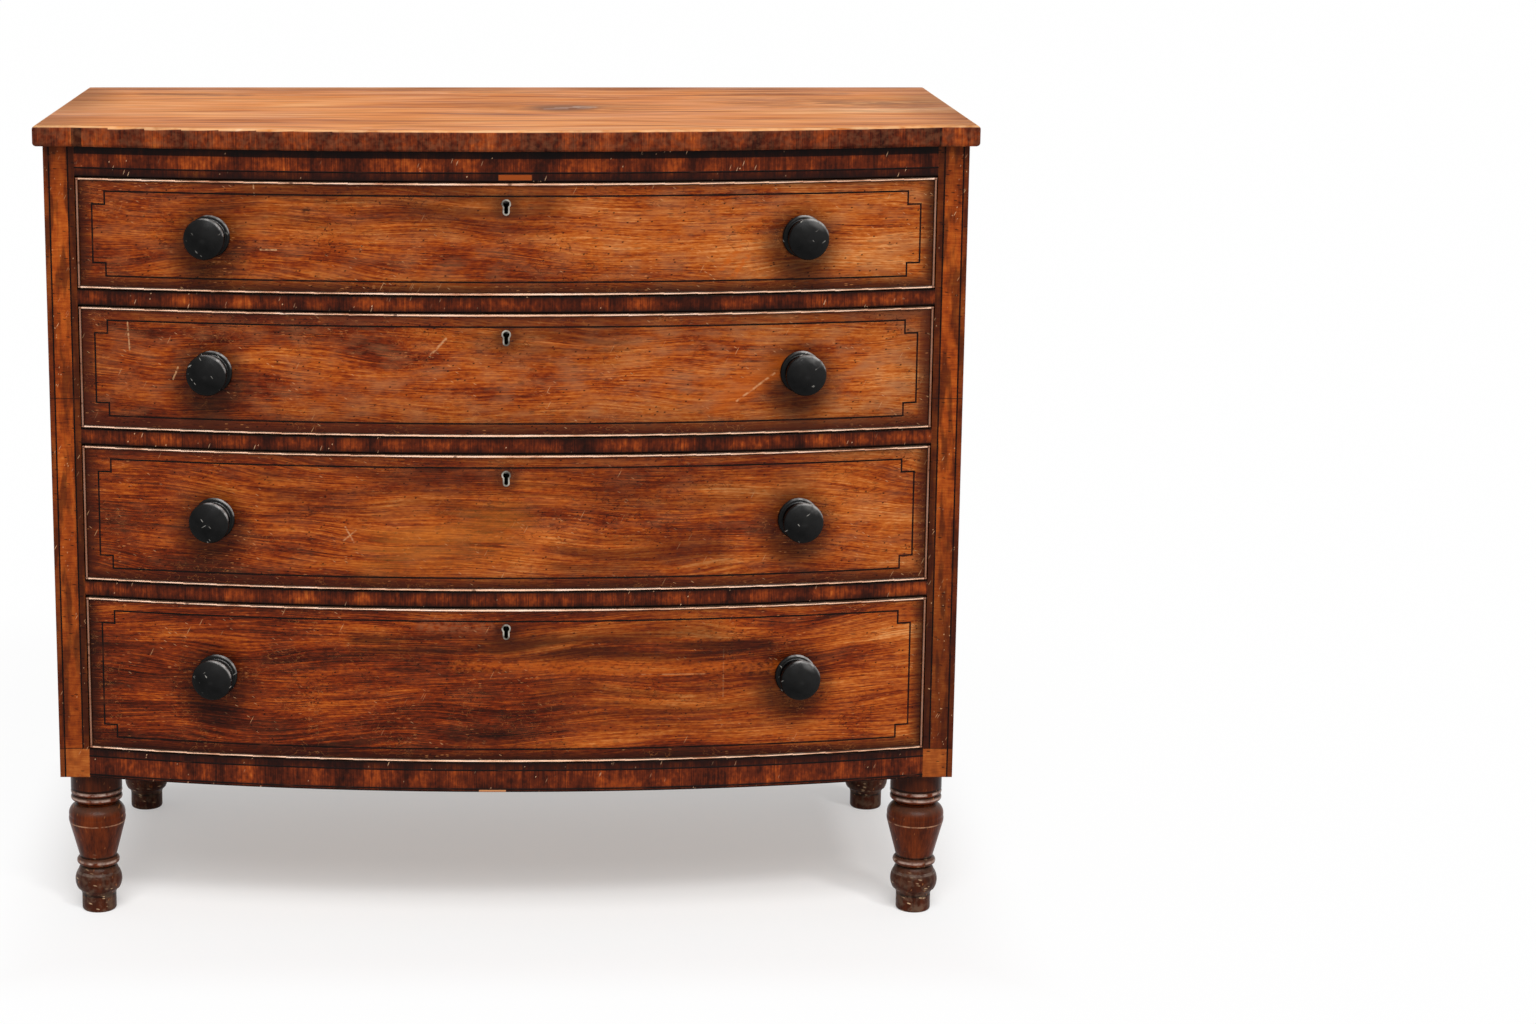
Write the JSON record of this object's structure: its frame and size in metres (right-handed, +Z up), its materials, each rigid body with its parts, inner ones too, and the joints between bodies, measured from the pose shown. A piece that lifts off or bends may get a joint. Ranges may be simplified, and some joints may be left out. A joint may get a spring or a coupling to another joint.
{
  "type": "bow front chest of drawers",
  "caption": "Mahogany chest with a bowed front, graduated long drawers with stepped string inlay and ebonised knobs, on turned feet; drawers slide and locks shoot bolts.",
  "frame": {"origin": "on the floor, at the middle of the whole object's box", "axes": "+Z up, the bowed front with its drawers towards -Y, +X to the right of a person facing it"},
  "size_m": [1.07, 0.5479, 0.943],
  "materials": {
    "mahogany_top": "polished",
    "mahogany_side": "polished",
    "mahogany_stile": "polished",
    "mahogany_rail": "polished",
    "mahogany_front": "polished",
    "cockbead": "worn polish",
    "string_inlay": "polished",
    "ebonised_knob": "satin black polish",
    "turned_mahogany": "polished",
    "pine": "unfinished, aged",
    "brass": "tarnished",
    "iron": "filed"
  },
  "bodies": {
    "case": {"top": "mahogany_top", "side_right": "mahogany_side", "side_left": "mahogany_side", "base_band_right": "mahogany_side", "base_band_left": "mahogany_side", "stile_right": "mahogany_stile", "stile_left": "mahogany_stile", "top_rail": "mahogany_rail", "drawer_rail_1": "mahogany_rail", "drawer_rail_2": "mahogany_rail", "drawer_rail_3": "mahogany_rail", "bottom_rail": "mahogany_rail", "bottom_board": "pine", "dust_boards": "pine", "runners": "pine", "guides": "pine", "drawer_stops": "pine", "back_boards": "pine", "foot_blocks": "pine", "foot_front_left": "turned_mahogany", "foot_front_right": "turned_mahogany", "foot_back_left": "turned_mahogany", "foot_back_right": "turned_mahogany"},
    "drawer_1": {"drawer_1_front": "mahogany_front", "drawer_1_sides": "pine", "drawer_1_back": "pine", "drawer_1_bottom": "pine", "drawer_1_cockbeads": "cockbead", "drawer_1_stringing": "string_inlay", "drawer_1_knobs": "ebonised_knob", "drawer_1_lock": "brass"},
    "lock_bolt_1": {"drawer_1_lock_bolt": "iron"},
    "drawer_2": {"drawer_2_front": "mahogany_front", "drawer_2_sides": "pine", "drawer_2_back": "pine", "drawer_2_bottom": "pine", "drawer_2_cockbeads": "cockbead", "drawer_2_stringing": "string_inlay", "drawer_2_knobs": "ebonised_knob", "drawer_2_lock": "brass"},
    "lock_bolt_2": {"drawer_2_lock_bolt": "iron"},
    "drawer_3": {"drawer_3_front": "mahogany_front", "drawer_3_sides": "pine", "drawer_3_back": "pine", "drawer_3_bottom": "pine", "drawer_3_cockbeads": "cockbead", "drawer_3_stringing": "string_inlay", "drawer_3_knobs": "ebonised_knob", "drawer_3_lock": "brass"},
    "lock_bolt_3": {"drawer_3_lock_bolt": "iron"},
    "drawer_4": {"drawer_4_front": "mahogany_front", "drawer_4_sides": "pine", "drawer_4_back": "pine", "drawer_4_bottom": "pine", "drawer_4_cockbeads": "cockbead", "drawer_4_stringing": "string_inlay", "drawer_4_knobs": "ebonised_knob", "drawer_4_lock": "brass"},
    "lock_bolt_4": {"drawer_4_lock_bolt": "iron"}
  },
  "joints": [
    {"name": "drawer_1_slide", "type": "slide", "parent": "case", "child": "drawer_1", "axis": [0, -1, 0], "range_m": [0, 0.33]},
    {"name": "lock_bolt_1_slide", "type": "slide", "parent": "drawer_1", "child": "lock_bolt_1", "axis": [0, 0, 1], "range_m": [0, 0.008]},
    {"name": "drawer_2_slide", "type": "slide", "parent": "case", "child": "drawer_2", "axis": [0, -1, 0], "range_m": [0, 0.33]},
    {"name": "lock_bolt_2_slide", "type": "slide", "parent": "drawer_2", "child": "lock_bolt_2", "axis": [0, 0, 1], "range_m": [0, 0.008]},
    {"name": "drawer_3_slide", "type": "slide", "parent": "case", "child": "drawer_3", "axis": [0, -1, 0], "range_m": [0, 0.33]},
    {"name": "lock_bolt_3_slide", "type": "slide", "parent": "drawer_3", "child": "lock_bolt_3", "axis": [0, 0, 1], "range_m": [0, 0.008]},
    {"name": "drawer_4_slide", "type": "slide", "parent": "case", "child": "drawer_4", "axis": [0, -1, 0], "range_m": [0, 0.33]},
    {"name": "lock_bolt_4_slide", "type": "slide", "parent": "drawer_4", "child": "lock_bolt_4", "axis": [0, 0, 1], "range_m": [0, 0.008]}
  ]
}
